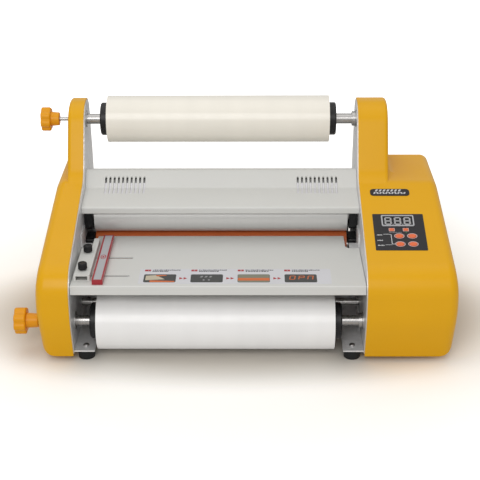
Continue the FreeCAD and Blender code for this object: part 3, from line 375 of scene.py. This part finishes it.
# ---- instruction label on the tray ----
label_low, label_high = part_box("tray_label")
label = Sheet((label_low.x, label_low.y, label_high.z), (1, 0, 0), (0, 1, 0))
label_long = (label_high.x - label_low.x) / MM
label_deep = (label_high.y - label_low.y) / MM
tile_width, tile_height, tile_v = 43.0, 25.0, 16.5
tile_pitch = (label_long - 15.0) / 3.857
tiles = [28.0 + i * tile_pitch for i in range(4)]
raised("label_tiles", label, [rounded(u, tile_v, tile_width, tile_height, 2.5) for u in tiles],
       INK, ink["ink_dark"], INK)
raised("label_tags", label, [bar(u - 17.5, label_deep - 5.2, 8.0, 5.4) for u in tiles],
       INK, ink["ink_red"], INK)
digits = {1: "bc", 2: "abged", 3: "abgcd", 4: "fgbc"}
tag_digits = []
for number, u in enumerate(tiles, 1):
    tag_digits += seven_segments(u - 17.5, label_deep - 5.2, 2.2, 3.8, 0.6, digits[number])
raised("label_tag_digits", label, tag_digits, INK, ink["ink_white"], 2 * INK)
lines = []
for number, u in enumerate(tiles):
    lines += written(u - 11.5, label_deep - 3.9, 38.0, 2.7, 15, number)
    lines += written(u - 11.5, label_deep - 7.9, 22.0 + 5 * (number % 3), 2.7, 9, number + 3)
raised("label_lines", label, lines, INK, ink["ink_grey"], INK)
arrows = []
for left, right in zip(tiles, tiles[1:]):
    middle = (left + right) / 2
    arrows += [[(middle + d - 2.6, tile_v - 3.6), (middle + d + 2.2, tile_v),
                (middle + d - 2.6, tile_v + 3.6)] for d in (-2.6, 3.0)]
raised("label_arrows", label, arrows, INK, ink["ink_red"], INK)
over = 2 * INK
first, second, third, fourth = tiles
raised("tile_1_sheet", label,
       [[(first - 19, tile_v - 6), (first + 7, tile_v - 3), (first - 6, tile_v + 10),
         (first - 19, tile_v + 8)]], INK, ink["ink_sand"], over)
raised("tile_1_band", label,
       [[(first - 13, tile_v - 12), (first + 20, tile_v - 12), (first + 20, tile_v - 8.5),
         (first - 13, tile_v - 6.4)],
        [(first - 4, tile_v + 6), (first + 9, tile_v + 8), (first + 7, tile_v + 10.5),
         (first - 6, tile_v + 9.5)]], INK, ink["ink_orange"], over + INK)
raised("tile_2_marks", label,
       [bar(second + d, tile_v + 5, 3.0, 4.5, 0.8) for d in (-7, -1, 5)]
       + [bar(second + d, tile_v - 5, 2.4, 3.4) for d in (-4, 3)], INK, ink["ink_pale"], over)
raised("tile_3_ground", label, [rounded(third, tile_v, tile_width - 1, tile_height - 1, 2.0)],
       INK, ink["ink_olive"], over)
raised("tile_3_band", label, [bar(third, tile_v - 3.0, tile_width - 1, 8.0)],
       INK, ink["ink_orange"], over + INK)
raised("tile_4_digits", label,
       seven_segments(fourth - 11, tile_v + 2, 8, 12, 1.5, "abcdef", 0.12)
       + seven_segments(fourth + 1, tile_v + 2, 8, 12, 1.5, "abefg", 0.12)
       + seven_segments(fourth + 13, tile_v + 2, 8, 12, 1.5, "abcef", 0.12),
       INK, ink["ink_orange"], over)

# ---- control panel ----
panel_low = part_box("control_panel_label")[0]
panel_sheet = 0.4 * MM
slope = math.radians(18.3)
panel = Sheet((panel_low.x, panel_low.y, panel_low.z + panel_sheet * math.cos(slope)),
              (1, 0, 0), (0, math.cos(slope), math.sin(slope)))


def on_panel(point):
    """A point of the row frame as u, v on the panel."""
    away = Vector(point) - panel.origin
    return away.dot(panel.across) / MM, away.dot(panel.up) / MM


bezel_low, bezel_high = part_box("display_bezel")
display_u, display_v = on_panel((bezel_low + bezel_high) / 2)
raised("display_ground", panel, [rounded(display_u, display_v, 41.0, 18.6, 1.0)],
       0.05, ink["ink_black"], 0.02)
raised("display_digits", panel,
       [outline for d in (-13.0, 0.0, 13.0)
        for outline in seven_segments(display_u + d, display_v, 9.8, 15.8, 2.3)],
       INK, ink["segment"], 0.10)
raised("display_points", panel, [rounded(display_u + d, display_v - 6.8, 1.5, 1.5, 0.7)
                                 for d in (-6.5, 6.5)], INK, ink["segment"], 0.10)
button_spots = [on_panel(sum(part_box(f"push_button_{i}"), Vector()) / 2) for i in (1, 2, 3, 4)]
rims = []
for u, v in button_spots:
    rims += oval_ring(u, v, 11.6, 8.2, 1.1)
raised("button_rims", panel, rims, INK, ink["ink_rim"], 0.0)
lens_low, lens_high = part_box("indicator_lamps")
lens_u, lens_v = on_panel((lens_low + lens_high) / 2)
lens_width = 4.8
lens_apart = (lens_high.x - lens_low.x) / MM - lens_width
lens_places = (lens_u - lens_apart / 2, lens_u + lens_apart / 2)
frames = []
for u in lens_places:
    frames += [bar(u, lens_v + 2.9, 8.0, 0.7), bar(u, lens_v - 2.9, 8.0, 0.7),
               bar(u - 3.65, lens_v, 0.7, 5.2), bar(u + 3.65, lens_v, 0.7, 5.2)]
raised("lens_frames", panel, frames, INK, ink["ink_rim"], 0.0)
raised("lens_grounds", panel,
       [bar(u + d, lens_v, 3.2, 5.2) for d in (-1.7, 1.7) for u in lens_places],
       INK, ink["ink_orange"], 0.0)
marks_u = 3.2
rows_v = (31.0, 20.0, 10.0)
raised("panel_words", panel,
       [mark for i, v in enumerate(rows_v) for mark in written(marks_u, v, 7.5 + 1.5 * (i == 2),
                                                              2.0, 6, i)],
       INK, ink["ink_white"])
raised("panel_caption", panel, written(20.5, 36.2, 17.0, 1.1, 12, 2), INK, ink["ink_pale"])
raised("panel_bracket", panel,
       [bar(16.0, 32.4, 7.6, 0.8), bar(22.6, 22.0, 0.9, 19.6, 0.0), bar(18.0, 11.0, 9.0, 0.6),
        [(19.6, 32.8), (19.6, 32.0), (22.2, 30.9), (23.0, 31.4)],
        bar(26.0, 12.6, 5.6, 0.9)], INK, ink["ink_white"])
raised("panel_dot", panel, [rounded(43.6, 36.2, 1.6, 1.6, 0.75)], INK, ink["ink_green"])

# ---- badge, with a plain pattern of waves ----
badge_low, badge_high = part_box("badge_plate")
badge_sheet = 1.2 * MM
badge = Sheet((badge_low.x, badge_low.y, badge_low.z + badge_sheet * math.cos(slope)),
              (1, 0, 0), (0, math.cos(slope), math.sin(slope)))
badge_long = (badge_high.x - badge_low.x) / MM
badge_tall = 14.5
raised("badge_upper_row", badge,
       [bar(9.0 + 5.4 * i, badge_tall * 0.70, 3.0, 4.2, 1.0)
        for i in range(int((badge_long - 12) / 5.4))], 0.5, ink["ink_silver"], 0.0, crown=0.2)
raised("badge_lower_row", badge,
       [bar(6.0 + 4.2 * i, badge_tall * 0.32, 2.6, 3.4, -0.6 if i % 2 else 0.6)
        for i in range(int((badge_long - 8) / 4.2))], 0.5, ink["ink_silver"], 0.0, crown=0.2)

# ---- louvres: a pale tongue pressed down inside each vent of the top cover ----
def louvre(x):
    """Corners and faces of the tongue under the vent at x, which follows the cover's bend."""
    spots = [(0.0375, 0.17445), (0.0525, 0.17685), (0.0585, 0.1832)]
    half, deep = 1.25 * MM, 0.8 * MM
    rows = []
    for y, z in spots:
        rows += [(x - half, y, z), (x + half, y, z), (x + half, y, z - deep),
                 (x - half, y, z - deep)]
    faces = [(3, 2, 1, 0), (8, 9, 10, 11)]
    for start in (0, 4):
        for i in range(4):
            j = (i + 1) % 4
            faces.append((start + i, start + j, start + 4 + j, start + 4 + i))
    return rows, faces


vent_pitch, vent_centre, vent_count = 6.15 * MM, 138.5 * MM, 10
middle_x = -20.25 * MM       # the middle of the gap between the covers
louvre_corners, louvre_faces = [], []
for side in (-1, 1):
    for i in range(vent_count):
        across = side * vent_centre + (i - (vent_count - 1) / 2) * vent_pitch
        rows, faces = louvre(middle_x + across)
        start = len(louvre_corners)
        louvre_corners += rows
        louvre_faces += [tuple(start + k for k in face) for face in faces]
piece("top_cover_louvres", louvre_corners, louvre_faces, looks["louvre"])

# ---- paper guide ----
insert_low, insert_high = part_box("guide_bar_insert")
insert = Sheet((insert_low.x, insert_low.y, insert_high.z), (1, 0, 0), (0, 1, 0))
insert_long = (insert_high.y - insert_low.y) / MM
insert_wide = (insert_high.x - insert_low.x) / MM
middle_v = insert_long / 2
raised("guide_mark", insert,
       oval_ring(insert_wide / 2, middle_v, 5.0, 12.0, 1.2, 24)
       + [bar(insert_wide / 2, middle_v, 2.2, 6.0)],
       INK, ink["ink_red"], body="guide_carriage")


def knurled(name, node, body, teeth=30):
    """A round knob with a fluted side, a bevelled top and a dish, in place of a CAD node.

    Each level is a height, a share of the radius and whether the flutes are cut there.
    """
    low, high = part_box(node)
    centre = (low + high) / 2
    radius = min(high.x - low.x, high.y - low.y) / 2
    head = 9.0 * MM
    bottom = high.z - head
    levels = [(low.z, 0.28, 0), (bottom, 0.28, 0), (bottom, 0.92, 0), (bottom + 0.8 * MM, 0.99, 1),
              (high.z - 1.2 * MM, 0.99, 1), (high.z - 0.3 * MM, 0.90, 0), (high.z, 0.82, 0),
              (high.z, 0.62, 0), (high.z - 0.7 * MM, 0.52, 0)]
    count = teeth * 4
    corners, faces = [], []
    for z, share, cut in levels:
        for i in range(count):
            turn = 2 * math.pi * i / count
            flute = 0.055 * cut * (1 - math.cos(teeth * turn)) / 2
            reach = radius * (share - flute)
            corners.append((centre.x + reach * math.cos(turn),
                            centre.y + reach * math.sin(turn), z))
    for row in range(len(levels) - 1):
        for i in range(count):
            j = (i + 1) % count
            a = row * count
            faces.append((a + i, a + j, a + count + j, a + count + i))
    faces.append(tuple(reversed(range(count))))
    faces.append(tuple((len(levels) - 1) * count + i for i in range(count)))
    made = piece(name, corners, faces, looks["black_plastic"], body, smooth=True)
    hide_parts(node)
    return made


knurled("front_clamp_knurled", "front_clamp_knob", "front_clamp")
knurled("rear_clamp_knurled", "rear_clamp_knob", "rear_clamp")


# ---------------------------------------------------------------- floor, light and camera
def light_path_mix(tree, ray, seen, otherwise, into):
    """Give a colour socket one value for a kind of ray and another for the rest."""
    path = tree.nodes.new("ShaderNodeLightPath")
    mix = tree.nodes.new("ShaderNodeMix")
    mix.data_type = "RGBA"
    mix.inputs["A"].default_value = otherwise
    mix.inputs["B"].default_value = seen
    tree.links.new(path.outputs[ray], mix.inputs["Factor"])
    tree.links.new(mix.outputs["Result"], into)
    return mix.inputs["B"]


# Under the machine the camera sees the floor darker: a painted shadow, drawn by distance from the
# middle and not cast by the machine.
painted_shadow_tone = (0.62, 0.58, 0.52, 1)      # what the camera sees of the floor: under the machine,
near_tone = (1.14, 1.12, 1.08, 1)        # around it
far_tone = (2.4, 2.4, 2.4, 1)            # and far from it
bounce_tone = (0.80, 0.79, 0.77, 1)      # what the machine gets from the floor
painted_shadow_edge = (0.14, 0.235)              # distances from the middle, in metres
far_edge = (0.25, 1.3)
floor_mesh = bpy.data.meshes.new("floor")
reach = 12.0
floor_mesh.from_pydata([(-reach, -reach, 0), (reach, -reach, 0), (reach, reach, 0),
                        (-reach, reach, 0)], [], [(0, 1, 2, 3)])
floor = bpy.data.objects.new("floor", floor_mesh)
bpy.context.scene.collection.objects.link(floor)
floor_look = Look("floor", (0.8, 0.8, 0.8), 1.0)
floor_look.set("Specular IOR Level", 0.0)
seen_floor = light_path_mix(floor_look.tree, "Is Camera Ray", (1, 1, 1, 1), bounce_tone,
                            floor_look.shader.inputs["Base Color"])
from_middle = floor_look.node("ShaderNodeVectorMath", operation="LENGTH")
floor_look.link(floor_look.place, from_middle.inputs[0])
fade = floor_look.node("ShaderNodeMapRange", interpolation_type="SMOOTHSTEP")
fade.inputs["From Min"].default_value = far_edge[0]
fade.inputs["From Max"].default_value = far_edge[1]
floor_look.link(from_middle.outputs["Value"], fade.inputs["Value"])
squeeze = floor_look.node("ShaderNodeVectorMath", operation="MULTIPLY")
squeeze.inputs[1].default_value = (0.5, 1, 1)
floor_look.link(floor_look.place, squeeze.inputs[0])
near = floor_look.node("ShaderNodeVectorMath", operation="LENGTH")
floor_look.link(squeeze.outputs["Vector"], near.inputs[0])
# Painted shadow: the floor turns darker towards the middle, between the two shadow edge distances.
painted_shadow_fade = floor_look.node("ShaderNodeMapRange", interpolation_type="SMOOTHSTEP")
painted_shadow_fade.inputs["From Min"].default_value = painted_shadow_edge[0]
painted_shadow_fade.inputs["From Max"].default_value = painted_shadow_edge[1]
floor_look.link(near.outputs["Value"], painted_shadow_fade.inputs["Value"])
under = floor_look.node("ShaderNodeMix", data_type="RGBA")
under.inputs["A"].default_value = painted_shadow_tone
under.inputs["B"].default_value = near_tone
floor_look.link(painted_shadow_fade.outputs["Result"], under.inputs["Factor"])
ground = floor_look.node("ShaderNodeMix", data_type="RGBA")
floor_look.link(under.outputs["Result"], ground.inputs["A"])
ground.inputs["B"].default_value = far_tone
floor_look.link(fade.outputs["Result"], ground.inputs["Factor"])
floor_look.link(ground.outputs["Result"], seen_floor)
floor.data.materials.append(floor_look.material)

ambient, backdrop = 0.50, 1.0    # strength of the world as a light, and as it is seen
gloss_share = 0.3                # how far reflections see the backdrop's strength
world = bpy.data.worlds.new("studio")
bpy.context.scene.world = world
world.use_nodes = True
sky = world.node_tree.nodes["Background"]
sky.inputs["Color"].default_value = (1, 1, 1, 1)
path = world.node_tree.nodes.new("ShaderNodeLightPath")
seen = world.node_tree.nodes.new("ShaderNodeMath")
seen.operation = "MAXIMUM"
seen_more = world.node_tree.nodes.new("ShaderNodeMath")
seen_more.operation = "MAXIMUM"
strength = world.node_tree.nodes.new("ShaderNodeMapRange")
strength.inputs["To Min"].default_value = ambient
strength.inputs["To Max"].default_value = backdrop
link = world.node_tree.links.new
link(path.outputs["Is Camera Ray"], seen.inputs[0])
gloss_seen = world.node_tree.nodes.new("ShaderNodeMath")
gloss_seen.operation = "MULTIPLY"
gloss_seen.inputs[1].default_value = gloss_share
link(path.outputs["Is Glossy Ray"], gloss_seen.inputs[0])
link(gloss_seen.outputs["Value"], seen.inputs[1])
link(seen.outputs["Value"], seen_more.inputs[0])
link(path.outputs["Is Transmission Ray"], seen_more.inputs[1])
link(seen_more.outputs["Value"], strength.inputs["Value"])
link(strength.outputs["Result"], sky.inputs["Strength"])


def soft_box(name, place, aim, size, power, colour=(1, 1, 1)):
    data = bpy.data.lights.new(name, "AREA")
    data.shape = "SQUARE"
    data.size = size
    data.energy = power
    data.color = colour
    lamp = bpy.data.objects.new(name, data)
    bpy.context.scene.collection.objects.link(lamp)
    lamp.location = place
    lamp.rotation_euler = (Vector(aim) - Vector(place)).to_track_quat("-Z", "Y").to_euler()
    return lamp


soft_box("overhead", (-0.2, 0.1, 2.0), (0, 0, 0.1), 2.0, 11.5, (1.0, 0.99, 0.97))
soft_box("front", (-0.3, -2.3, 1.6), (0, 0, 0.1), 1.4, 24.5, (1.0, 0.99, 0.98))

camera_place = Vector((0.02675, -1.600, 0.813))
pitch, yaw, roll = math.radians(23.46), math.radians(-0.69), math.radians(-0.29)
look_along = Vector((math.sin(yaw) * math.cos(pitch), math.cos(yaw) * math.cos(pitch),
                     -math.sin(pitch)))
camera_data = bpy.data.cameras.new("camera")
camera_data.sensor_width = 36.0
camera_data.lens = 92.0
camera = bpy.data.objects.new("camera", camera_data)
bpy.context.scene.collection.objects.link(camera)
camera.location = camera_place
camera.rotation_mode = "QUATERNION"
camera.rotation_quaternion = (look_along.to_track_quat("-Z", "Y")
                              @ Quaternion((0, 0, 1), roll))
bpy.context.scene.camera = camera
bpy.context.scene.view_settings.view_transform = "Standard"
